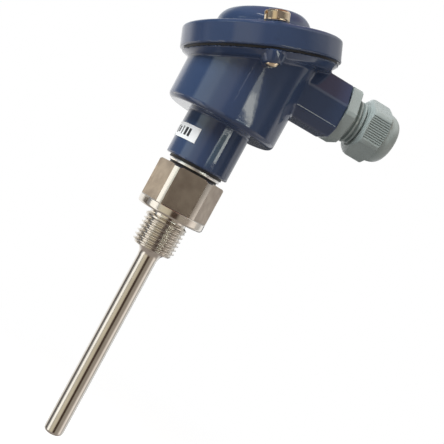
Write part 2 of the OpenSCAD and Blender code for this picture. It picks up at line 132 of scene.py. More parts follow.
# Head casting
NECK_FOOT = gasket_high[2]
NECK_R = 9.9
NECK_BORE_TOP = 25.4
WIRE_HOLE_R = 4.5
WIRE_HOLE_LOW = 24
HOUSING_FOOT = 30.8
HOUSING_R = 17.2
HOUSING_BEND = 1.6
DRAFT = math.tan(math.radians(0.5))
CAVITY_R = 15.2
FLOOR_Z = 33.3
PAD_X = 7.2
PAD_R, PAD_RISE, PAD_BORE = 2.5, 1.8, 1.28
EARTH_Y = 12.4
EARTH_R, EARTH_RISE, EARTH_BORE = 2.3, 3.3, 1.48
BORE_DEPTH = 1.2
ENTRY_Z = mount("cable_entry")["pos_m"][2] / MM
BOSS_X = ring_low[0]
BOSS_START = 11.0
BOSS_HALF = 8.6
BOSS_BEND = 0.5
UPPER_FLAT, UPPER_DROP = 4.0, 7.1
LOWER_FLAT, LOWER_DROP = 5.6, 2.6
CAST_EDGE = 0.35

# Lid, flange and lugs, in the lid's own frame
LID_AXIS = np.array(joint("lid_lift")["axis"])
LID_TILT = math.atan2(-LID_AXIS[0], LID_AXIS[2])
LID_Z = 53.3
LID_SHIFT = 1.2
LID_R = span("lid")[1][1]
LID_DRAFT = 0.15
LID_SLOPE = 0.18
RIM_H = 6.2
RIM_BEND = 0.7
DOME_R = 14.1
DOME_H = 6.8
DOME_DRAFT = 0.08
DOME_BEND = 4.0
CROWN_FALL = 0.0042
RECESS_R, RECESS_H = 16.3, 3.45
HOLLOW_R, DOME_WALL = 11.8, 3.3
FLANGE_R = LID_R - 0.7
FLANGE_TOP = -0.6
FLANGE_EDGE = -0.9
FLANGE_LOW = -2.6
FLANGE_LEAN = math.atan2(2.4, 1.7)
SHELL_TOP = -1.3
SCREW_OUT = 19.6
SCREW_TURN = math.radians(-3.2)
PAD_H = 0.5
HEAD_R = 3.5
HEAD_H = 3.1
SLOT_HALF, SLOT_DEPTH = 0.55, 1.3
SHANK_R = 2.0
LUG_R = 3.8
LUG_LOW = -4.4
LUG_TAPER_TOP = -1.6
LUG_TAPER = math.atan2(1.2, 2.8)
SHANK_LEN = RIM_H + PAD_H - LUG_LOW + 0.5
LID_FRAME = (
    Matrix.Translation((0, 0, LID_Z))
    @ Matrix.Rotation(-LID_TILT, 4, "Y")
    @ Matrix.Translation((LID_SHIFT, 0, 0))
)

# Gland, along the cable entry's axis
GLAND_FRAME = Matrix.Translation((0, 0, ENTRY_Z)) @ Matrix.Rotation(math.radians(90), 4, "Y")
GLAND_R = 6.8
GLAND_PITCH = 1.4
GLAND_DEPTH = 0.95
GLAND_STEP = 0.06
GLAND_ROOT, GLAND_FLANK = 0.25, 0.4
GLAND_CHAMFER = 0.6
GLAND_EDGE = 0.25
GLAND_BORE = 4.9
GLAND_AF = 17.0
CORNER_TRIM = 1.115
COLLAR_X = ring_high[0]
GAP_X = COLLAR_X + 2.8
NUT_X = nut_low[0]
NUT_END = nut_high[0]
NUT_AF = 16.8
NUT_CORNER = NUT_AF / 2 * CORNER_TRIM
NUT_FRONT = math.radians(-90)
NUT_GAP = 0.05
NUT_WALL = 1.4
NUT_FACE_R = 5.0
NUT_HOLE_R = 4.4
NUT_BORE = 6.4
FINGER_R, FINGER_END_R, FINGER_BORE = 6.1, 5.6, 5.1
FINGER_LEN, FINGER_TAPER = 4.6, 1.2
FINGER_X = NUT_END - NUT_WALL - 0.3 - FINGER_LEN - 0.05
DOME_X = NUT_X + 6.7
DOME_FOOT_X = DOME_X + 0.7
DOME_FOOT_R = 8.0
GROOVES = 11
GROOVE_PITCH = 0.7
GROOVE_WIDTH = 0.33
GROOVE_DEPTH = 0.36

# Label: directions round the neck in degrees. A bar has a direction, a width and a height.
LABEL_START, LABEL_END = 144, 240
LABEL_THICK = 0.12
LABEL_BAR_THICK = 0.012
LABEL_BARS = (
    (222, 5, 2.4), (214, 6, 2.4), (205, 3, 2.4), (196, 5, 1.8), (188, 5, 2.4), (172, 12, 0.5),
)

# Nets on distance functions: their spacing, and how their points are drawn to the surface
CAST_NET = 0.42
SCREW_NET = 0.17
SLOPE_STEP = 0.02
PULLS = 5
CELL_CORNERS = np.array([(i, j, k) for i in (0, 1) for j in (0, 1) for k in (0, 1)])
ARC_STEPS = 3


# ---------------- mesh makers

def new_object(name, data):
    """A new object in the scene."""
    made = bpy.data.objects.new(name, data)
    bpy.context.scene.collection.objects.link(made)
    return made


def add_object(name, points, faces, body, place=None, normals=None, sharp=None):
    """An object of the part from points in millimetres, riding on a body of the frame."""
    points = np.asarray(points, float)
    if place is not None:
        spin = np.array(place.to_3x3())
        points = points @ spin.T + np.array(place.translation)
        if normals is not None:
            normals = normals @ spin.T
    mesh = bpy.data.meshes.new(name)
    mesh.from_pydata((points * MM).tolist(), [], faces)
    mesh.validate()
    mesh.polygons.foreach_set("use_smooth", [True] * len(mesh.polygons))
    if normals is not None:
        mesh.normals_split_custom_set_from_vertices(normals.tolist())
    if sharp is not None:
        mesh.set_sharp_from_angle(angle=math.radians(sharp))
    mesh.update()
    made = new_object(name, mesh)
    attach(made, body)
    return made


def gradient(distance, points):
    """Direction in which a distance function grows, at each point."""
    parts = []
    for axis in np.eye(3) * SLOPE_STEP:
        parts.append((distance(points + axis) - distance(points - axis)) / (2 * SLOPE_STEP))
    return np.stack(parts, axis=-1)


def cell_points(value, active):
    """A point in each crossed cell: the middle of where its edges meet the surface."""
    at_corner = np.stack([value[tuple((active + c).T)] for c in CELL_CORNERS], axis=1)
    total = np.zeros((len(active), 3))
    count = np.zeros(len(active))
    for a in range(8):
        for b in range(a + 1, 8):
            edge = CELL_CORNERS[b] - CELL_CORNERS[a]
            if np.abs(edge).sum() != 1:
                continue
            crossed = (at_corner[:, a] < 0) != (at_corner[:, b] < 0)
            gap = np.where(crossed, at_corner[:, a] - at_corner[:, b], 1)
            part = np.where(crossed, at_corner[:, a] / gap, 0)
            total += crossed[:, None] * (CELL_CORNERS[a] + part[:, None] * edge)
            count += crossed
    return active + total / count[:, None]


def pull_on(distance, points, reach):
    """Points moved onto the surface, in steps no longer than the reach along each axis."""
    for _ in range(PULLS):
        slope = gradient(distance, points)
        step = distance(points)[:, None] * slope / np.maximum((slope**2).sum(1), 1e-6)[:, None]
        points = points - np.clip(step, -reach, reach)
    return points


def net_quads(inside, number):
    """A quad round each grid edge that crosses the surface, facing outwards."""
    quads = []
    for axis in range(3):
        u, v = np.eye(3, dtype=int)[(axis + 1) % 3], np.eye(3, dtype=int)[(axis + 2) % 3]
        before = np.take(inside, range(inside.shape[axis] - 1), axis)
        after = np.take(inside, range(1, inside.shape[axis]), axis)
        edges = np.argwhere(before != after)
        loop = [number[tuple(e.T)] for e in (edges, edges - u, edges - u - v, edges - v)]
        loop = np.stack(loop, axis=1)
        leaving = before[tuple(edges.T)]
        quads.append(np.where(leaving[:, None], loop, loop[:, ::-1]))
    return np.concatenate(quads).tolist()


def net_surface(distance, low, high, pitch):
    """Points, quads and normals of the surface where a distance function is zero."""
    low = np.array(low, float) - 2 * pitch
    counts = np.ceil((np.array(high) + 2 * pitch - low) / pitch).astype(int) + 1
    axes = [low[i] + pitch * np.arange(counts[i]) for i in range(3)]
    value = distance(np.stack(np.meshgrid(*axes, indexing="ij"), axis=-1))
    inside = value < 0

    cells = counts - 1
    filled = np.zeros(cells, np.uint8)
    for i, j, k in CELL_CORNERS:
        filled += inside[i:i + cells[0], j:j + cells[1], k:k + cells[2]]
    active = np.argwhere((filled > 0) & (filled < 8))
    number = np.full(cells, -1)
    number[tuple(active.T)] = np.arange(len(active))

    points = pull_on(distance, low + pitch * cell_points(value, active), pitch / 2)
    normals = gradient(distance, points)
    normals /= np.maximum(np.linalg.norm(normals, axis=1), 1e-9)[:, None]
    return points, net_quads(inside, number), normals


def ring_surface(rings, angles):
    """Points and quads of a closed form: each ring is a height and a radius at each angle."""
    points = []
    for height, radii in rings:
        radii = np.broadcast_to(radii, angles.shape)
        flat = np.full(angles.shape, float(height))
        points.append(np.stack([radii * np.cos(angles), radii * np.sin(angles), flat], axis=1))
    around = len(angles)
    quads = []
    for i in range(len(rings)):
        j = (i + 1) % len(rings)
        for k in range(around):
            m = (k + 1) % around
            quads.append((i * around + k, i * around + m, j * around + m, j * around + k))
    return np.concatenate(points), quads


def even_angles(count):
    """Evenly spread angles of a full turn."""
    return np.arange(count) * 2 * math.pi / count


def rounded(corners):
    """Rings of a profile of (radius, height, rounding) corners, with a curve at each rounding."""
    made = []
    for i, (r, h, bend) in enumerate(corners):
        here = np.array([r, h], float)
        if bend == 0:
            made.append((h, r))
            continue
        back = np.array(corners[i - 1][:2], float) - here
        on = np.array(corners[(i + 1) % len(corners)][:2], float) - here
        start = here + back / np.linalg.norm(back) * bend
        end = here + on / np.linalg.norm(on) * bend
        for t in np.linspace(0, 1, ARC_STEPS + 1):
            point = (1 - t) ** 2 * start + 2 * t * (1 - t) * here + t**2 * end
            made.append((point[1], point[0]))
    return made


def fold(angles, turn, step):
    """How far each angle lies from the nearest of even steps that begin at a turn."""
    return (angles - turn + step / 2) % step - step / 2


def hex_radius(angles, af, turn):
    """Radius of a hexagon whose first flat faces along the turn."""
    return af / 2 / np.cos(fold(angles, turn, math.radians(60)))


def thread_wave(height, angles, pitch, root, flank):
    """A right-hand thread at one height: 0 in its root and 1 on its crest, at each angle."""
    turn = (height / pitch - angles / (2 * math.pi)) % 1
    return np.clip((np.abs(2 * turn - 1) - root) / flank, 0, 1)


# ---------------- joins of distance functions

def join(a, b, bend=0.0):
    """Both forms together, with a hollow fillet of that radius where they meet."""
    if bend == 0:
        return np.minimum(a, b)
    return np.maximum(np.minimum(a, b), bend) - np.hypot(
        np.maximum(bend - a, 0), np.maximum(bend - b, 0)
    )


def meet(a, b, bend=0.0):
    """What both forms share, with a rounded edge of that radius."""
    return -join(-a, -b, bend)


def cut(a, b, bend=0.0):
    """The first form without the second."""
    return meet(a, -b, bend)


def rod(p, r, low, high, bend=0.0):
    """Distance from an upright round rod."""
    side = np.hypot(p[..., 0], p[..., 1]) - r
    ends = np.abs(p[..., 2] - (low + high) / 2) - (high - low) / 2
    return meet(side, ends, bend)


def into(place, p):
    """Points of the part, as seen from a frame that is placed in it."""
    inverse = np.array(place.inverted())
    return p @ inverse[:3, :3].T + inverse[:3, 3]


# ---------------- head casting and lid

def to_screws(lid):
    """Points of the lid's frame, folded so that one lid screw's axis stands for both."""
    turn, bend = math.cos(-SCREW_TURN), math.sin(-SCREW_TURN)
    across = lid[..., 0] * turn - lid[..., 1] * bend
    along = np.abs(lid[..., 0] * bend + lid[..., 1] * turn) - SCREW_OUT
    return np.stack([across, along, lid[..., 2]], axis=-1)


def bevel(y, z, flat, drop):
    """Distance from the boss's bevel between a flat of that half width and a side below it."""
    slope = np.array([drop, BOSS_HALF - flat]) / math.hypot(drop, BOSS_HALF - flat)
    return (y - flat) * slope[0] + (z - BOSS_HALF) * slope[1]


def boss_distance(p):
    """Distance from the cable boss: an uneven octagon with softened edges."""
    y, z = np.abs(p[..., 1]), p[..., 2] - ENTRY_Z
    sides = meet(y - BOSS_HALF, np.abs(z) - BOSS_HALF, BOSS_BEND)
    upper = bevel(y, z, UPPER_FLAT, UPPER_DROP)
    lower = bevel(y, -z, LOWER_FLAT, LOWER_DROP)
    section = meet(meet(sides, upper, BOSS_BEND), lower, BOSS_BEND)
    boss = meet(section, p[..., 0] - BOSS_X, CAST_EDGE)
    return meet(boss, BOSS_START - p[..., 0])


def flange_distance(lid):
    """Distance from the flange under the lid, whose lower side is a short cone."""
    out, w = np.hypot(lid[..., 0], lid[..., 1]), lid[..., 2]
    cone = (out - FLANGE_R) * math.cos(FLANGE_LEAN) - (w - FLANGE_EDGE) * math.sin(FLANGE_LEAN)
    flange = meet(meet(out - FLANGE_R, cone, bend=0.2), FLANGE_LOW - w, bend=0.5)
    return meet(flange, w - FLANGE_TOP, bend=0.1)


def lug_distance(side):
    """Distance from the tapered lugs that take the lid screws."""
    cone = (np.hypot(side[..., 0], side[..., 1]) - LUG_R) * math.cos(LUG_TAPER)
    cone = cone - (side[..., 2] - LUG_TAPER_TOP) * math.sin(LUG_TAPER)
    lug = meet(meet(rod(side, LUG_R, LUG_LOW, 0), cone, bend=0.8), LUG_LOW - side[..., 2], bend=0.9)
    return meet(lug, side[..., 2] - FLANGE_TOP)


def floor_rods(p, pad_r, earth_r, low, pad_rise, earth_rise, bend=0.0):
    """Two rods for the terminal block and one for the earth screw, on the housing's floor."""
    pads = rod(np.abs(p) - np.array([PAD_X, 0, 0]), pad_r, low, FLOOR_Z + pad_rise, bend)
    earth = rod(p - np.array([0, EARTH_Y, 0]), earth_r, low, FLOOR_Z + earth_rise, bend)
    return pads, earth


def head_holes(p, side):
    """Distance from the large holes: nipple, wires, cable entry and lid screws."""
    holes = rod(p, NIPPLE_R + FIT, NECK_FOOT - 1, NECK_BORE_TOP)
    holes = join(holes, rod(p, WIRE_HOLE_R, WIRE_HOLE_LOW, FLOOR_Z + 1))
    holes = join(holes, rod(into(GLAND_FRAME, p), GLAND_R + FIT, BOSS_START - 1, BOSS_X + 1))
    return join(holes, rod(side, SHANK_R + 0.05, LUG_LOW - 1, 1))


def head_distance(p):
    """Distance from the surface of the head casting."""
    z = p[..., 2]
    lid = into(LID_FRAME, p)
    side = to_screws(lid)
    across = np.hypot(p[..., 0], p[..., 1])
    neck = meet(across - NECK_R, NECK_FOOT - z, CAST_EDGE)
    grown = (z - HOUSING_FOOT) * DRAFT
    housing = meet(across - HOUSING_R - grown, HOUSING_FOOT - z, HOUSING_BEND)
    shell = join(join(neck, housing, bend=0.5), boss_distance(p), bend=0.7)
    shell = meet(shell, lid[..., 2] - SHELL_TOP)
    shell = join(shell, flange_distance(lid), bend=0.6)
    shell = join(shell, lug_distance(side), bend=0.5)

    cavity = meet(across - CAVITY_R, FLOOR_Z - z, bend=1.2)
    shell = cut(shell, cavity, bend=0.3)
    pads, earth = floor_rods(p, PAD_R, EARTH_R, FLOOR_Z - 0.5, PAD_RISE, EARTH_RISE, bend=0.2)
    shell = join(join(shell, pads, bend=0.4), earth, bend=0.6)
    bores = join(*floor_rods(p, PAD_BORE, EARTH_BORE, FLOOR_Z - BORE_DEPTH, 3, 4))
    return cut(cut(shell, head_holes(p, side), bend=0.15), bores, bend=0.1)


def lid_distance(p):
    """Distance from the surface of the lid, in the lid's own frame."""
    w = p[..., 2]
    out = np.hypot(p[..., 0], p[..., 1])
    slope = math.cos(math.atan(LID_SLOPE))
    top = (w - RIM_H - np.maximum(LID_R - out, 0) * LID_SLOPE) * slope
    rim = meet(out - LID_R + w * LID_DRAFT / RIM_H, top, RIM_BEND)
    rim = meet(rim, -w, CAST_EDGE)
    crown = w - (RIM_H + DOME_H) + out**2 * CROWN_FALL
    dome = meet(out - DOME_R + (w - RIM_H) * DOME_DRAFT, crown, DOME_BEND)
    dome = meet(dome, 1 - w)
    side = to_screws(p)
    seat = RIM_H + PAD_H
    pads = rod(side, HEAD_R + 0.3, 2, seat, bend=0.15)
    shell = join(join(rim, dome, bend=0.4), pads, bend=0.3)
    shell = cut(shell, rod(side, HEAD_R + 0.25, seat, RIM_H + 3), bend=0.1)
    recess = rod(p, RECESS_R, -2, RECESS_H, bend=0.6)
    hollow = rod(p, HOLLOW_R, -2, RIM_H + DOME_H - DOME_WALL, bend=2.5)
    shell = cut(shell, join(recess, hollow, bend=0.5), bend=0.2)
    return cut(shell, rod(side, SHANK_R + 0.3, -2, RIM_H + 2), bend=0.1)


def make_head():
    """The enamelled casting, with the fillets that a casting has."""
    points, quads, normals = net_surface(head_distance, head_low, head_high, CAST_NET)
    made = add_object("head_casting", points, quads, "head", normals=normals)
    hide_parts("head_body")
    return made


def make_lid():
    """The enamelled lid."""
    low, high = (-LID_R, -LID_R, 0), (LID_R, LID_R, RIM_H + DOME_H)
    points, quads, normals = net_surface(lid_distance, low, high, CAST_NET)
    made = add_object(
        "lid_casting", points, quads, "lid", place=LID_FRAME, normals=normals
    )
    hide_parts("lid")
    return made


# ---------------- lid screws

def lid_screw_distance(p):
    """Distance from the surface of a slotted cheese-head screw that stands on z = 0."""
    head = rod(p, HEAD_R, 0, HEAD_H, bend=0.7)
    slot = meet(np.abs(p[..., 1]) - SLOT_HALF, HEAD_H - SLOT_DEPTH - p[..., 2], bend=0.05)
    shank = rod(p, SHANK_R, -SHANK_LEN, 0.5, bend=1.4)
    return join(cut(head, slot, bend=0.12), shank)


def make_lid_screws():
    """Brass lid screws, front and rear."""
    low, high = (-HEAD_R, -HEAD_R, -SHANK_LEN), (HEAD_R, HEAD_R, HEAD_H)
    points, quads, normals = net_surface(lid_screw_distance, low, high, SCREW_NET)
    made = []
    for name, side, turn in (("lid_screw_front", -1, 20), ("lid_screw_rear", 1, 25)):
        place = (
            LID_FRAME
            @ Matrix.Rotation(SCREW_TURN, 4, "Z")
            @ Matrix.Translation((0, side * SCREW_OUT, RIM_H + PAD_H))
            @ Matrix.Rotation(math.radians(turn), 4, "Z")
        )
        screw = add_object(
            name + "_brass", points, quads, name, place=place, normals=normals
        )
        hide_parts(name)
        made.append(screw)
    return made


# ---------------- process fitting

def weld_rings(bottom):
    """The weld's hollow fillet, from the tube out to the thread's end."""
    rings = [(bottom - WELD_H, TUBE_R + FIT)]
    for height in np.linspace(-WELD_H, -0.1, 8):
        rise = 1 + height / WELD_H
        bulge = (WELD_R - TUBE_R - WELD_FOOT) * rise**WELD_CURVE
        rings.append((bottom + height, TUBE_R + WELD_FOOT + bulge))
    return rings + [(bottom, WELD_R)]


def thread_rings(angles, bottom):
    """The fitting's thread: rounded crests, a chamfer below, and a run-out above."""
    rings = [(bottom, THREAD_R - 1.5)]
    for height in np.arange(bottom, RELIEF_Z, THREAD_STEP):
        wave = thread_wave(height, angles, THREAD_PITCH, THREAD_ROOT, THREAD_FLANK)
        wave = wave * wave * (3 - 2 * wave)
        strength = np.clip(min((THREAD_END - height) / THREAD_FADE, 1), 0, 1)
        radius = THREAD_R - THREAD_DEPTH * (1 - wave) * strength
        chamfer = THREAD_R - THREAD_CHAMFER + (height - bottom)
        rings.append((height, np.minimum(radius, chamfer)))
    return rings


def collar_rings():
    """The relief above the thread, and the round collar."""
    return rounded([
        (THREAD_R, RELIEF_Z, 0), (RELIEF_R, RELIEF_Z + RELIEF_RISE, 0.2), (RELIEF_R, 0, 0.25),
        (BAR_R - COLLAR_CHAMFER, 0, 0.3), (BAR_R, COLLAR_CHAMFER, 0.3),
        (BAR_R, COLLAR_H - COLLAR_EDGE, 0), (COLLAR_EDGE_R, COLLAR_H, 0),
    ])


def hexagon_rings(angles):
    """The hexagon milled from round bar, with its chamfered top."""
    hexagon = np.minimum(BAR_R, hex_radius(angles, HEX_AF, math.radians(HEX_TURN - 90)))
    rings = [
        (COLLAR_H, np.minimum(hexagon + COLLAR_EDGE, COLLAR_EDGE_R)),
        (COLLAR_H + COLLAR_EDGE, hexagon),
    ]
    chamfer_low = HEX_TOP - HEX_CHAMFER
    for height in np.linspace(chamfer_low, HEX_TOP, 6):
        rings.append((height, np.minimum(hexagon, BAR_R - (height - chamfer_low))))
    return rings


def shoulder_rings():
    """The groove, the shoulder, and the nipple with the hole through it."""
    top = fitting_high[2]
    return rounded([
        (GROOVE_R, HEX_TOP, 0.1), (GROOVE_R, GROOVE_TOP, 0.1),
        (SHOULDER_R, GROOVE_TOP, SHOULDER_EDGE), (SHOULDER_R, SHOULDER_TOP, SHOULDER_EDGE),
        (NIPPLE_R, SHOULDER_TOP, 0), (NIPPLE_R, top, 0.3), (NIPPLE_BORE, top, 0.3),
        (NIPPLE_BORE, tube_high[2], 0), (TUBE_R + FIT, tube_high[2], 0),
    ])


def hex_angles():
    """Angles for the hexagon: even ones, and the exact edges of its flats."""
    edge = math.acos(HEX_AF / 2 / BAR_R)
    flats = [math.radians(HEX_TURN - 90 + 60 * k) for k in range(6)]
    exact = [flat + side * edge for flat in flats for side in (-1, 1)]
    return np.unique(np.concatenate([even_angles(288), np.mod(exact, 2 * math.pi)]))


def smooth_thread(mesh, points, low, high):
    """Takes the sharp mark off the edges between two heights."""
    count = len(mesh.edges)
    ends = np.zeros(count * 2, int)
    mesh.edges.foreach_get("vertices", ends)
    within = (points[ends, 2] > low) & (points[ends, 2] < high)
    sharp = np.zeros(count, bool)
    marks = mesh.attributes["sharp_edge"].data
    marks.foreach_get("value", sharp)
    marks.foreach_set("value", sharp & ~within.reshape(-1, 2).all(1))


def make_fitting():
    """Threaded fitting with a real helix, undercut, round collar and milled hexagon."""
    angles = hex_angles()
    bottom = fitting_low[2]
    rings = weld_rings(bottom) + thread_rings(angles, bottom) + collar_rings()
    rings += hexagon_rings(angles) + shoulder_rings()
    points, quads = ring_surface(rings, angles)
    made = add_object("fitting_steel", points, quads, "head", sharp=17)
    smooth_thread(made.data, points, bottom + 0.1, RELIEF_Z - 0.02)
    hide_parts("process_fitting")
    return made


# ---------------- gland

def make_gland_body():
    """Gland body: thread into the boss, hex collar, and the thread and fingers under the nut."""
    angles = even_angles(360)
    collar = np.minimum(hex_radius(angles, GLAND_AF, 0), GLAND_AF / 2 * CORNER_TRIM)
    inner_x, seal_x, finger_end = body_low[0], seal_low[0], FINGER_X + FINGER_LEN
    skirt_x, skirt_r = BOSS_X + 0.02, ring_high[1] + 0.02
    rings = [
        (inner_x, GLAND_BORE), (inner_x, GLAND_R - GLAND_CHAMFER),
        (inner_x + GLAND_CHAMFER, GLAND_R), (COLLAR_X, GLAND_R), (COLLAR_X, skirt_r),
        (skirt_x, skirt_r),
        (skirt_x, collar - 0.15), (skirt_x + 0.15, collar),
        (GAP_X - GLAND_EDGE, collar), (GAP_X, collar - GLAND_EDGE),
        (GAP_X, GLAND_R - GLAND_DEPTH),
    ]
    for x in np.arange(GAP_X + 0.01, FINGER_X, GLAND_STEP):
        wave = thread_wave(x, angles, GLAND_PITCH, GLAND_ROOT, GLAND_FLANK)
        rings.append((x, GLAND_R - GLAND_DEPTH * (1 - wave * (x > GAP_X + 0.3))))
    rings += [
        (FINGER_X, FINGER_R), (finger_end - FINGER_TAPER, FINGER_R), (finger_end, FINGER_END_R),
        (finger_end, FINGER_BORE), (seal_x, FINGER_BORE), (seal_x, GLAND_BORE),
    ]
    points, quads = ring_surface(rings, angles)
    made = add_object(
        "gland_body_moulding", points, quads, "head", place=GLAND_FRAME, sharp=28
    )
    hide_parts("gland_body")
    return made


def groove_angles():
    """Even angles, and both sides of each groove's edges on the three grooved faces."""
    centres = (np.arange(GROOVES) - (GROOVES - 1) / 2) * GROOVE_PITCH
    half = GROOVE_WIDTH / 2
    edges = [c + s * (half + e) for c in centres for s in (-1, 1) for e in (-0.012, 0.012)]
    turns = np.arctan(np.array(edges) / (NUT_AF / 2))
    full = 2 * math.pi
    exact = [np.mod(turns + NUT_FRONT + k * full / 3, full) for k in range(3)]
    corners = np.mod(NUT_FRONT + math.radians(30) + np.arange(6) * math.pi / 3, full)
    return np.unique(np.concatenate([even_angles(360), *exact, corners]))


def nut_faces(angles):
    """Radii of the nut's flats, and the same with grooves in every second flat."""
    flats = hex_radius(angles, NUT_AF, NUT_FRONT)
    off = fold(angles, NUT_FRONT, math.radians(120))
    across = NUT_AF / 2 * np.tan(np.clip(off, -0.6, 0.6))
    last = (GROOVES - 1) / 2
    nearest = np.clip(np.round(across / GROOVE_PITCH), -last, last) * GROOVE_PITCH
    in_groove = (np.abs(across - nearest) < GROOVE_WIDTH / 2) & (np.abs(off) < 0.59)
    return flats, flats - in_groove * GROOVE_DEPTH / np.cos(off)


def nut_side_rings(angles):
    """The nut's foot and faces, up to where they run out into the dome."""
    flats, grooved = nut_faces(angles)
    foot_x, foot_r = NUT_X + 0.25, 8.1
    groove_start, groove_end = NUT_X + 0.8, DOME_X + 0.4
    heights = np.concatenate([
        np.linspace(foot_x, groove_start - 0.02, 4),
        np.linspace(groove_start, DOME_X, 8),
        np.linspace(DOME_X, DOME_FOOT_X, 12)[1:],
    ])
    rings = [(NUT_X, GLAND_R + NUT_GAP), (NUT_X, foot_r - 0.4), (foot_x, foot_r)]
    for x in heights:
        part = max(x - DOME_X, 0) / (DOME_FOOT_X - DOME_X)
        cone = NUT_CORNER + (DOME_FOOT_R - NUT_CORNER) * part
        face = grooved if groove_start <= x <= groove_end else flats
        rings.append((x, np.minimum(np.minimum(face, cone), foot_r + 0.05 + (x - foot_x) * 1.6)))
    return rings


def nut_dome_rings():
    """The nut's dome, its hole and the bore inside."""
    rings = []
    for turn in np.linspace(0, math.pi / 2, 26)[1:]:
        height = DOME_FOOT_X + (NUT_END - DOME_FOOT_X) * math.sin(turn)
        rings.append((height, NUT_FACE_R + (DOME_FOOT_R - NUT_FACE_R) * math.cos(turn)))
    wall_x, thread_x = NUT_END - NUT_WALL, DOME_X - 1
    return rings + rounded([
        (NUT_FACE_R - 0.2, NUT_END, 0), (NUT_HOLE_R, NUT_END, 0.3), (NUT_HOLE_R, wall_x, 0.1),
        (NUT_BORE, wall_x, 0), (NUT_BORE, thread_x, 0), (GLAND_R + NUT_GAP, thread_x, 0),
    ])


def make_gland_nut():
    """Dome nut: grooved and plain flats that run out into the dome."""
    angles = groove_angles()
    points, quads = ring_surface(nut_side_rings(angles) + nut_dome_rings(), angles)
    made = add_object(
        "gland_nut_moulding", points, quads, "gland_nut", place=GLAND_FRAME, sharp=26
    )
    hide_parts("gland_nut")
    return made


# ---------------- label

def curved_patch(name, radius, thick, start, end, low, high):
    """A thin patch laid round the neck, between two directions and two heights."""
    steps = max(2, int(abs(end - start) / 1.5))
    outer, inner = [], []
    for angle in np.radians(np.linspace(start, end, steps + 1)):
        x, y = math.cos(angle), math.sin(angle)
        for height in (low, high):
            outer.append(((radius + thick) * x, (radius + thick) * y, height))
            inner.append((radius * x, radius * y, height))
    n = len(outer)
    faces = []
    for k in range(0, n - 2, 2):
        faces.append((k, k + 2, k + 3, k + 1))
        faces.append((n + k, n + k + 1, n + k + 3, n + k + 2))
        faces.append((k, n + k, n + k + 2, k + 2))
        faces.append((k + 1, k + 3, n + k + 3, n + k + 1))
    faces += [(0, 1, n + 1, n), (n - 2, 2 * n - 2, 2 * n - 1, n - 1)]
    return add_object(name, outer + inner, faces, "head", sharp=40)


def make_label():
    """White label with a few plain dark bars where print would be."""
    low, high = label_low[2], label_high[2]
    label = curved_patch("label_film", NECK_R, LABEL_THICK, LABEL_START, LABEL_END, low, high)
    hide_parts("type_label")
    bars = []
    middle = (low + high) / 2
    for k, (centre, width, tall) in enumerate(LABEL_BARS):
        bars.append(curved_patch(
            f"label_bar_{k}", NECK_R + LABEL_THICK, LABEL_BAR_THICK,
            centre - width / 2, centre + width / 2, middle - tall / 2, middle + tall / 2,
        ))
    return label, bars


# ---------------- shader nodes

NOISE_LOW, NOISE_HIGH = 0.3, 0.7
NOISE_ROUGHNESS = 0.55


def opaque(colour):
    """A colour with full alpha."""
    return (*colour, 1)


def feed(tree, node, inputs):
    """Sets a node's inputs: each is a value, or another node's output."""
    for name, source in inputs.items():
        if isinstance(source, bpy.types.NodeSocket):
            tree.links.new(source, node.inputs[name])
        else:
            node.inputs[name].default_value = source


def add_node(tree, kind, inputs=None, **settings):
    """A new node with its settings and inputs."""
    made = tree.nodes.new(kind)
    for name, value in settings.items():
        setattr(made, name, value)
    feed(tree, made, inputs or {})
    return made


def map_range(tree, source, start, end, low=0.0, high=1.0, kind="LINEAR"):
    """Values from start to end, turned into values from low to high."""
    ends = {"Value": source, "From Min": start, "From Max": end, "To Min": low, "To Max": high}
    return add_node(tree, "ShaderNodeMapRange", ends, interpolation_type=kind).outputs["Result"]


def mix_shaders(tree, part, first, second):
    """Two shaders, shared out by a factor."""
    inputs = {0: part, 1: first, 2: second}
    return add_node(tree, "ShaderNodeMixShader", inputs).outputs[0]


def mix_colours(tree, part, first, second):
    """Two colours, shared out by a factor."""
    inputs = {0: part, 6: first, 7: second}
    return add_node(tree, "ShaderNodeMix", inputs, data_type="RGBA").outputs[2]


def noise(tree, scale, detail, stretch=(1, 1, 1)):
    """Noise in the object's own metres, stretched along its axes."""
    place = add_node(tree, "ShaderNodeTexCoord").outputs["Object"]
    mapped = add_node(tree, "ShaderNodeMapping", {"Vector": place, "Scale": stretch})
    return add_node(tree, "ShaderNodeTexNoise", {
        "Vector": mapped.outputs["Vector"], "Scale": scale, "Detail": detail,
        "Roughness": NOISE_ROUGHNESS,
    }).outputs["Fac"]


def spread(tree, source, low, high):
    """Noise as a value between two."""
    return map_range(tree, source, NOISE_LOW, NOISE_HIGH, low, high)


def tint(tree, source, first, second):
    """Noise as a colour between two."""
    made = add_node(tree, "ShaderNodeValToRGB", {"Fac": source})
    for element, place, colour in zip(
        made.color_ramp.elements, (NOISE_LOW, NOISE_HIGH), (first, second)
    ):
        element.position = place
        element.color = opaque(colour)
    return made.outputs["Color"]


def bump(tree, source, strength, depth):
    """Relief of a given depth in metres."""
    inputs = {"Height": source, "Strength": strength, "Distance": depth}
    return add_node(tree, "ShaderNodeBump", inputs).outputs["Normal"]


def shader(name):
    """A new material, its node tree and its main shader."""
    material = bpy.data.materials.new(name)
    material.use_nodes = True
    tree = material.node_tree
    return material, tree, next(n for n in tree.nodes if n.type == "BSDF_PRINCIPLED")


# ---------------- materials

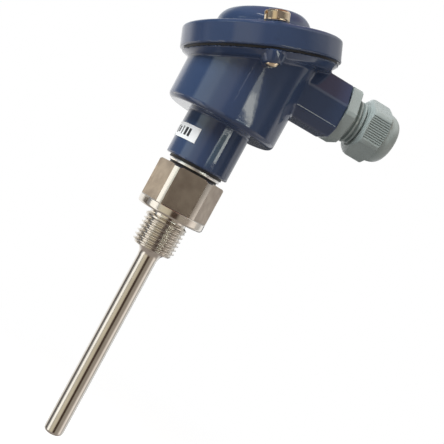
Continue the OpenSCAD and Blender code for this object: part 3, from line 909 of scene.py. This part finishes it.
def enamel():
    """Glossy navy enamel, with the faint ripple of a sprayed and baked coat."""
    material, tree, main = shader("navy_enamel")
    colour = tint(tree, noise(tree, 90, 3), (0.033, 0.056, 0.120), (0.038, 0.063, 0.133))
    ripple = bump(tree, noise(tree, 350, 2), 0.45, 0.00005)
    feed(tree, main, {
        "Base Color": colour, "Roughness": 0.45, "Specular IOR Level": 0.1,
        "Coat Weight": 1.0, "Coat Roughness": 0.07, "Coat IOR": 1.6,
        "Normal": ripple, "Coat Normal": ripple,
    })
    return material


def metal(name, first, second, low, high, scale, stretch, depth, strength=0.5, detail=4):
    """Worked metal: fine tool marks stretched along the way that the tool went."""
    material, tree, main = shader(name)
    marks = noise(tree, scale, detail, stretch)
    feed(tree, main, {
        "Metallic": 1.0, "Base Color": tint(tree, noise(tree, 220, 2), first, second),
        "Roughness": spread(tree, marks, low, high), "Normal": bump(tree, marks, strength, depth),
    })
    return material


def moulded(name, first, second, rough):
    """Plastic, rubber, resin or ceramic with a fine skin."""
    material, tree, main = shader(name)
    colour = tint(tree, noise(tree, 150, 3), first, second)
    skin = noise(tree, 3500, 2)
    feed(tree, main, {
        "Base Color": colour, "Roughness": spread(tree, skin, rough - 0.06, rough + 0.06),
        "Normal": bump(tree, skin, 0.3, 0.00002),
    })
    return material


def steel_turned():
    """Turned stainless steel, with fine rings round the axis."""
    return metal("steel_turned", (0.70, 0.66, 0.60), (0.78, 0.745, 0.69), 0.13, 0.20,
                 700, (1, 1, 6), 0.000001, strength=0.15, detail=1)


def steel_milled():
    """The hexagon's satin flats, darker than the turned faces."""
    return metal("steel_milled", (0.370, 0.308, 0.256), (0.515, 0.445, 0.370), 0.36, 0.48,
                 450, (4, 4, 1), 0.000003)


def shoulder_painted_highlight():
    """Painted highlight: a brighter, even steel on the shoulder that stands in for the white highlight along it.
    """
    return metal("shoulder_painted_highlight", (0.84, 0.83, 0.80), (0.90, 0.89, 0.87), 0.26, 0.34,
                 700, (1, 1, 6), 0.000001, strength=0.15, detail=1)


def groove_painted_shade():
    """Painted shade: a dark, dull material in the groove below the shoulder, where shade falls."""
    return moulded("groove_painted_shade", (0.012, 0.012, 0.013), (0.02, 0.02, 0.021), 0.5)


def steel_drawn():
    """Drawn tube, with marks along its length."""
    return metal("steel_drawn", (0.66, 0.63, 0.58), (0.74, 0.71, 0.66), 0.11, 0.17,
                 1300, (1, 1, 0.04), 0.0000012, strength=0.3, detail=2)


def brass():
    """Plain turned brass."""
    return metal("brass", (0.74, 0.59, 0.41), (0.88, 0.74, 0.54), 0.13, 0.22,
                 900, (1, 1, 4), 0.000003)


def plated_steel():
    """Plated steel screws."""
    return metal("plated_steel", (0.60, 0.61, 0.63), (0.70, 0.71, 0.72), 0.18, 0.32,
                 900, (1, 1, 4), 0.000003)


def grey_nylon():
    """Grey-green polyamide of the gland."""
    return moulded("grey_nylon", (0.34, 0.39, 0.378), (0.375, 0.425, 0.413), 0.28)


def black_rubber():
    """Gaskets, O-ring and seal."""
    return moulded("black_rubber", (0.028, 0.028, 0.030), (0.040, 0.040, 0.042), 0.5)


def ceramic():
    """Unglazed white ceramic."""
    return moulded("ceramic", (0.78, 0.74, 0.66), (0.86, 0.83, 0.76), 0.42)


def cement():
    """Ceramic cement in the tube's tip."""
    return moulded("cement", (0.62, 0.58, 0.50), (0.74, 0.70, 0.62), 0.8)


def potting():
    """Brown potting resin."""
    return moulded("potting", (0.05, 0.03, 0.02), (0.08, 0.05, 0.03), 0.4)


def wire_sleeve():
    """Red sleeves of the lead wires."""
    return moulded("wire_sleeve", (0.45, 0.035, 0.025), (0.55, 0.05, 0.035), 0.45)


def label_film():
    """White film of the label."""
    return moulded("label_film", (0.95, 0.95, 0.95), (0.97, 0.97, 0.97), 0.32)


def print_ink():
    """Near-black ink of the label's bars."""
    return moulded("print_ink", (0.02, 0.02, 0.025), (0.04, 0.04, 0.045), 0.4)


def mark_surfaces(made):
    """Gives the fitting its satin flats (1), a brighter steel on the shoulder as a painted highlight (2) and a
    dark material in the groove as painted shade (3).
    """
    for face in made.data.polygons:
        middle = np.array(face.center) / MM
        out, height = math.hypot(middle[0], middle[1]), middle[2]
        upright = abs(face.normal.z) < 0.3
        if COLLAR_H + 0.1 < height < HEX_TOP - 0.02 and out < BAR_R - 0.04 and upright:
            face.material_index = 1
        # Shoulder: painted highlight, a brighter steel in place of the white highlight along it.
        elif GROOVE_TOP < height < SHOULDER_TOP and out > NIPPLE_R:
            face.material_index = 2
        # Groove: painted shade, a dark material where shade falls in the groove.
        elif HEX_TOP < height <= GROOVE_TOP and out > NIPPLE_R - 1:
            face.material_index = 3


def dress(objects, *materials):
    """Gives the same materials to several objects."""
    for item in objects:
        item.data.materials.clear()
        for material in materials:
            item.data.materials.append(material)


def dress_nodes(names, material):
    """Gives one material to several pieces of the frame."""
    dress([frame["nodes"][name] for name in names], material)


# ---------------- build the part

head = make_head()
lid = make_lid()
lid_screws = make_lid_screws()
fitting = make_fitting()
gland_body = make_gland_body()
gland_nut = make_gland_nut()
label, label_bars = make_label()

dress([head, lid], enamel())
# The shoulder's brighter steel is a painted highlight, and the groove's dark material is painted shade.
dress([fitting], steel_turned(), steel_milled(), shoulder_painted_highlight(), groove_painted_shade())
mark_surfaces(fitting)
dress_nodes(["probe_tube"], steel_drawn())
dress(lid_screws + [frame["nodes"][name] for name in ("terminals", "earth_washer")], brass())
dress_nodes(["terminal_screws", "block_screws", "earth_screw"], plated_steel())
dress([gland_body, gland_nut], grey_nylon())
dress_nodes(["lid_gasket", "neck_gasket", "gland_o_ring", "gland_seal"], black_rubber())
dress_nodes(["terminal_block", "rtd_element", "insulator_rod"], ceramic())
dress_nodes(["tip_filler"], cement())
dress_nodes(["tube_seal"], potting())
dress_nodes(["lead_wires"], wire_sleeve())
dress([label], label_film())
dress(label_bars, print_ink())


# ---------------- stage: camera

CAMERA_AZIMUTH = math.radians(-12.69)
CAMERA_ELEVATION = math.radians(1.10)
CAMERA_ROLL = math.radians(28.56)
CAMERA_DISTANCE = 209.0
CAMERA_LENS = 57.74
AIM_HEIGHT = 10.0
AIM_RIGHT, AIM_UP = 10.72, -10.41


def toward(azimuth, elevation):
    """Direction with an azimuth, which is 0 in front and grows to the right, and an elevation."""
    flat = math.cos(elevation)
    return Vector((math.sin(azimuth) * flat, -math.cos(azimuth) * flat, math.sin(elevation)))


def make_camera():
    """A close camera, level with the probe and rolled so that the probe leans."""
    roll = CAMERA_ROLL
    back = toward(CAMERA_AZIMUTH, CAMERA_ELEVATION)
    right = Vector((math.cos(CAMERA_AZIMUTH), math.sin(CAMERA_AZIMUTH), 0))
    up = back.cross(right)
    side = right * math.cos(roll) + up * math.sin(roll)
    top = up * math.cos(roll) - right * math.sin(roll)
    place = Vector((0, 0, AIM_HEIGHT)) + back * CAMERA_DISTANCE + side * AIM_RIGHT + top * AIM_UP
    data = bpy.data.cameras.new("camera")
    data.lens = CAMERA_LENS
    data.sensor_width = 36
    data.clip_start, data.clip_end = 0.005, 20
    camera = new_object("camera", data)
    turn = Matrix((side, top, back)).transposed().to_4x4()
    camera.matrix_world = Matrix.Translation(place * MM) @ turn
    bpy.context.scene.camera = camera


# ---------------- stage: room and lamps

# Colours of the room by azimuth in degrees: 0 is behind the camera, and it grows to the right
LOW_WALLS = (
    (-180, (0.05, 0.05, 0.05)), (-178.3, (0.05, 0.05, 0.05)), (-176, (0.76, 0.76, 0.76)),
    (-122, (0.80, 0.79, 0.78)), (-113, (0.42, 0.40, 0.38)), (-106, (0.11, 0.10, 0.09)),
    (-92, (0.085, 0.07, 0.06)), (-84, (0.26, 0.26, 0.27)), (-70, (0.16, 0.17, 0.19)),
    (-44, (0.16, 0.16, 0.17)), (-37, (0.50, 0.46, 0.38)), (-14, (0.54, 0.49, 0.38)),
    (1, (0.42, 0.38, 0.30)), (6, (0.055, 0.034, 0.025)), (25, (0.050, 0.032, 0.024)),
    (34, (0.27, 0.24, 0.20)), (68, (0.29, 0.25, 0.22)), (76, (0.55, 0.50, 0.46)),
    (86, (0.78, 0.72, 0.67)), (100, (0.76, 0.71, 0.66)), (106, (0.42, 0.40, 0.38)),
    (128, (0.40, 0.39, 0.38)), (136, (0.76, 0.76, 0.76)), (154, (0.76, 0.76, 0.76)),
    (162, (0.05, 0.05, 0.05)), (180, (0.05, 0.05, 0.05)),
)
MIDDLE_WALLS = (
    (-180, (0.76, 0.76, 0.76)), (-130, (0.76, 0.76, 0.76)), (-122, (0.30, 0.33, 0.36)),
    (-112, (0.10, 0.12, 0.14)), (-72, (0.08, 0.12, 0.18)), (-64, (0.80, 0.92, 0.92)),
    (-40, (0.84, 0.90, 0.82)), (-30, (0.52, 0.52, 0.44)), (-10, (0.42, 0.38, 0.34)),
    (0, (0.14, 0.12, 0.12)), (24, (0.12, 0.10, 0.10)), (60, (0.12, 0.12, 0.12)),
    (74, (0.22, 0.22, 0.22)), (88, (0.04, 0.04, 0.04)), (104, (0.06, 0.06, 0.06)),
    (114, (0.66, 0.64, 0.62)), (130, (0.44, 0.43, 0.42)), (144, (0.48, 0.48, 0.48)),
    (165, (0.48, 0.48, 0.48)), (180, (0.76, 0.76, 0.76)),
)
HIGH_WALLS = (
    (-180, (1.0, 1.0, 1.0)), (-165, (1.0, 1.0, 1.0)), (-155, (0.58, 0.60, 0.60)),
    (-136, (0.55, 0.57, 0.58)), (-122, (0.26, 0.28, 0.30)), (-100, (0.05, 0.06, 0.08)),
    (-60, (0.08, 0.09, 0.12)), (0, (0.16, 0.15, 0.16)), (70, (0.10, 0.10, 0.10)),
    (100, (0.06, 0.06, 0.06)), (112, (0.34, 0.34, 0.35)), (135, (0.38, 0.38, 0.38)),
    (165, (0.38, 0.38, 0.38)), (172, (1.0, 1.0, 1.0)), (180, (1.0, 1.0, 1.0)),
)
CEILING = (
    (-180, (0.22, 0.22, 0.24)), (0, (0.14, 0.14, 0.15)), (20, (0.20, 0.19, 0.18)),
    (40, (0.70, 0.68, 0.66)), (120, (0.70, 0.68, 0.66)), (180, (0.22, 0.22, 0.24)),
)
ZENITH = (0.24, 0.12, 0.08)
GROUND = (0.26, 0.23, 0.21)
ROOM_STRENGTH = 1.35
SKY_LOW = (0.040, 0.024, 0.012)
SKY_HIGH = (0.50, 0.48, 0.47)

# Heights, as the sine of the elevation, between which the room goes over to the next colours
BANDS = ((-0.01, 0.03, MIDDLE_WALLS), (0.16, 0.20, HIGH_WALLS), (0.48, 0.62, CEILING))
ZENITH_BAND = (0.75, 0.90)
GROUND_BAND = (-0.40, -0.80)
SKY_BAND = (-0.10, 0.80)


def empty_tree(owner):
    """The cleared node tree of a new material or world."""
    owner.use_nodes = True
    owner.node_tree.nodes.clear()
    return owner.node_tree


def ramp(tree, source, stops):
    """Colours round the room, from a value that is 0 at -180 degrees and 1 at 180."""
    made = add_node(tree, "ShaderNodeValToRGB", {"Fac": source})
    elements = made.color_ramp.elements
    while len(elements) < len(stops):
        elements.new(0.5)
    for element, (degrees, colour) in zip(elements, stops):
        element.position = (degrees + 180) / 360
        element.color = opaque(colour)
    return made.outputs["Color"]


def math_node(tree, operation, first, second):
    """The outcome of one operation on two values."""
    return add_node(tree, "ShaderNodeMath", {0: first, 1: second}, operation=operation).outputs[0]


def room_directions(tree):
    """The way a ray goes: its height, and its azimuth from the camera as a value from 0 to 1."""
    place = add_node(tree, "ShaderNodeTexCoord").outputs["Generated"]
    turned = add_node(tree, "ShaderNodeMapping", {
        "Vector": place, "Rotation": (0, 0, -CAMERA_AZIMUTH),
    })
    axes = add_node(tree, "ShaderNodeSeparateXYZ", {"Vector": turned.outputs["Vector"]}).outputs
    front = math_node(tree, "MULTIPLY", axes["Y"], -1)
    angle = math_node(tree, "ARCTAN2", axes["X"], front)
    return axes["Z"], map_range(tree, angle, -math.pi, math.pi)


def make_world():
    """White behind the object, and a room with bright and dark walls for the reflections."""
    world = bpy.data.worlds.new("studio")
    bpy.context.scene.world = world
    tree = empty_tree(world)
    height, azimuth = room_directions(tree)

    room = ramp(tree, azimuth, LOW_WALLS)
    for start, end, stops in BANDS:
        room = mix_colours(
            tree, map_range(tree, height, start, end), room, ramp(tree, azimuth, stops)
        )
    room = mix_colours(tree, map_range(tree, height, *ZENITH_BAND), room, opaque(ZENITH))
    room = mix_colours(tree, map_range(tree, height, *GROUND_BAND), room, opaque(GROUND))
    sky = mix_colours(
        tree, map_range(tree, height, *SKY_BAND), opaque(SKY_LOW), opaque(SKY_HIGH)
    )

    kind = "ShaderNodeBackground"
    glossy = add_node(tree, kind, {"Color": room, "Strength": ROOM_STRENGTH}).outputs[0]
    soft = add_node(tree, kind, {"Color": sky}).outputs[0]
    white = add_node(tree, kind, {"Color": (1, 1, 1, 1)}).outputs[0]
    path = add_node(tree, "ShaderNodeLightPath").outputs
    mirrored = math_node(tree, "MAXIMUM", path["Is Glossy Ray"], path["Is Transmission Ray"])
    lit = mix_shaders(tree, mirrored, soft, glossy)
    shown = mix_shaders(tree, path["Is Camera Ray"], lit, white)
    add_node(tree, "ShaderNodeOutputWorld", {"Surface": shown})


LAMP_SIZE = 0.30
LAMP_AIM = Vector((0, 0, 0.02))
LAMPS = (
    ("key", -47, 40, 0.6, 3.7, (0.92, 0.97, 1.0)),
    ("fill", 50, 30, 0.7, 0.5, (1.0, 0.82, 0.66)),
    ("top", 120, 68, 0.7, 1.2, (1.0, 0.97, 0.95)),
)


def make_lamp(name, azimuth, elevation, distance, power, colour):
    """A soft square lamp aimed at the head, at an azimuth from the camera and an elevation."""
    way = toward(math.radians(azimuth) + CAMERA_AZIMUTH, math.radians(elevation))
    data = bpy.data.lights.new(name, "AREA")
    data.size = LAMP_SIZE
    data.energy = power
    data.color = colour
    lamp = new_object(name, data)
    lamp.location = LAMP_AIM + way * distance
    lamp.rotation_mode = "QUATERNION"
    lamp.rotation_quaternion = (-way).to_track_quat("-Z", "Y")
    lamp.visible_glossy = False


# Windows that the object mirrors: name, distance, strength, colour, (azimuth, height) corners
WINDOWS = (
    ("screen_left", 0.11, 1.35, (1.0, 0.98, 0.93),
     ((-71, -0.140), (-43, -0.140), (-43, 0.017), (-71, 0.017))),
    ("screen_hexagon", 0.10, 1.9, (1.0, 0.93, 0.80),
     ((-128, 0.001), (-86, 0.001), (-86, 0.016), (-128, 0.016))),
    ("lamp", 0.40, 7.0, (1.0, 1.0, 1.0),
     ((-46, 0.40), (-22, 0.40), (-22, 0.44), (-46, 0.44))),
    ("window_body", 0.11, 2.0, (0.98, 1.0, 0.88),
     ((26, 0.065), (24, 0.053), (26, 0.046), (42, 0.043), (58, 0.042), (48, 0.050), (38, 0.057))),
    ("window_body_low", 0.103, 5.0, (1.0, 1.0, 0.88),
     ((26, 0.053), (27, 0.047), (37, 0.044), (54, 0.042), (45, 0.048), (36, 0.053))),
    ("window_line", 0.40, 1.6, (0.95, 0.95, 1.0),
     ((7, 0.086), (8, 0.086), (9, 0.112), (8, 0.112))),
    ("window_neck", 0.40, 5.0, (0.95, 1.0, 0.92),
     ((46, 0.038), (57, 0.038), (57, 0.067), (49, 0.067))),
    ("window_neck_edge", 0.40, 2.6, (0.90, 1.0, 0.95),
     ((25, 0.034), (29, 0.034), (34, 0.066), (28, 0.066))),
    ("window_neck_top", 0.40, 5.0, (0.95, 1.0, 0.95),
     ((28, 0.064), (57, 0.064), (57, 0.068), (28, 0.068))),
    ("window_neck_inside", 0.40, 0.9, (0.60, 0.80, 0.65),
     ((29, 0.034), (44, 0.034), (48, 0.064), (34, 0.064))),
)


def make_window(name, distance, strength, colour, corners):
    """A glowing card that only shows in reflections."""
    points = []
    for azimuth, height in corners:
        place = toward(math.radians(azimuth) + CAMERA_AZIMUTH, 0) * distance
        points.append((place.x, place.y, height))
    mesh = bpy.data.meshes.new(name)
    mesh.from_pydata(points, [], [tuple(range(len(points)))])
    material = bpy.data.materials.new(name)
    tree = empty_tree(material)
    glow = {"Color": opaque(colour), "Strength": strength}
    shown = add_node(tree, "ShaderNodeEmission", glow).outputs[0]
    add_node(tree, "ShaderNodeOutputMaterial", {"Surface": shown})
    mesh.materials.append(material)
    card = new_object(name, mesh)
    card.visible_camera = False
    card.visible_diffuse = False
    card.visible_shadow = False
    card.visible_transmission = False


# ---------------- stage: floor

FLOOR_RADIUS = 0.6
FLOOR_GAP = 0.06
FLOOR_SIDES = 96
FADE_START, FADE_END = 0.15, 0.35
FLOOR_SEEN = (1.15, 1.15, 1.15)
FLOOR_UNSEEN = (0.12, 0.12, 0.12)


def floor_material():
    """White away from the middle, dim for all but the camera, and clear from below."""
    material = bpy.data.materials.new("floor")
    tree = empty_tree(material)
    place = add_node(tree, "ShaderNodeTexCoord").outputs["Object"]
    away = add_node(tree, "ShaderNodeVectorMath", {0: place}, operation="LENGTH").outputs["Value"]
    fade = map_range(tree, away, FADE_START, FADE_END, kind="SMOOTHSTEP")
    camera_ray = add_node(tree, "ShaderNodeLightPath").outputs["Is Camera Ray"]
    colour = mix_colours(tree, camera_ray, opaque(FLOOR_UNSEEN), opaque(FLOOR_SEEN))
    plain = add_node(tree, "ShaderNodeBsdfDiffuse", {"Color": colour}).outputs[0]
    white = add_node(tree, "ShaderNodeEmission").outputs[0]
    clear = add_node(tree, "ShaderNodeBsdfTransparent").outputs[0]
    below = add_node(tree, "ShaderNodeNewGeometry").outputs["Backfacing"]
    shown = mix_shaders(tree, below, mix_shaders(tree, fade, plain, white), clear)
    add_node(tree, "ShaderNodeOutputMaterial", {"Surface": shown})
    return material


def make_floor():
    """A pale round floor below the hanging probe. It keeps the shadow and fades to white."""
    height = cad_low[2] - FLOOR_GAP
    points = [(0, 0, height)]
    faces = []
    for k in range(FLOOR_SIDES):
        angle = 2 * math.pi * k / FLOOR_SIDES
        points.append((FLOOR_RADIUS * math.cos(angle), FLOOR_RADIUS * math.sin(angle), height))
        faces.append((0, 1 + k, 1 + (k + 1) % FLOOR_SIDES))
    mesh = bpy.data.meshes.new("floor")
    mesh.from_pydata(points, [], faces)
    mesh.materials.append(floor_material())
    floor = new_object("floor", mesh)
    floor.visible_glossy = False


make_camera()
make_world()
make_floor()
for lamp in LAMPS:
    make_lamp(*lamp)
for window in WINDOWS:
    make_window(*window)
bpy.context.scene.view_settings.view_transform = "Standard"
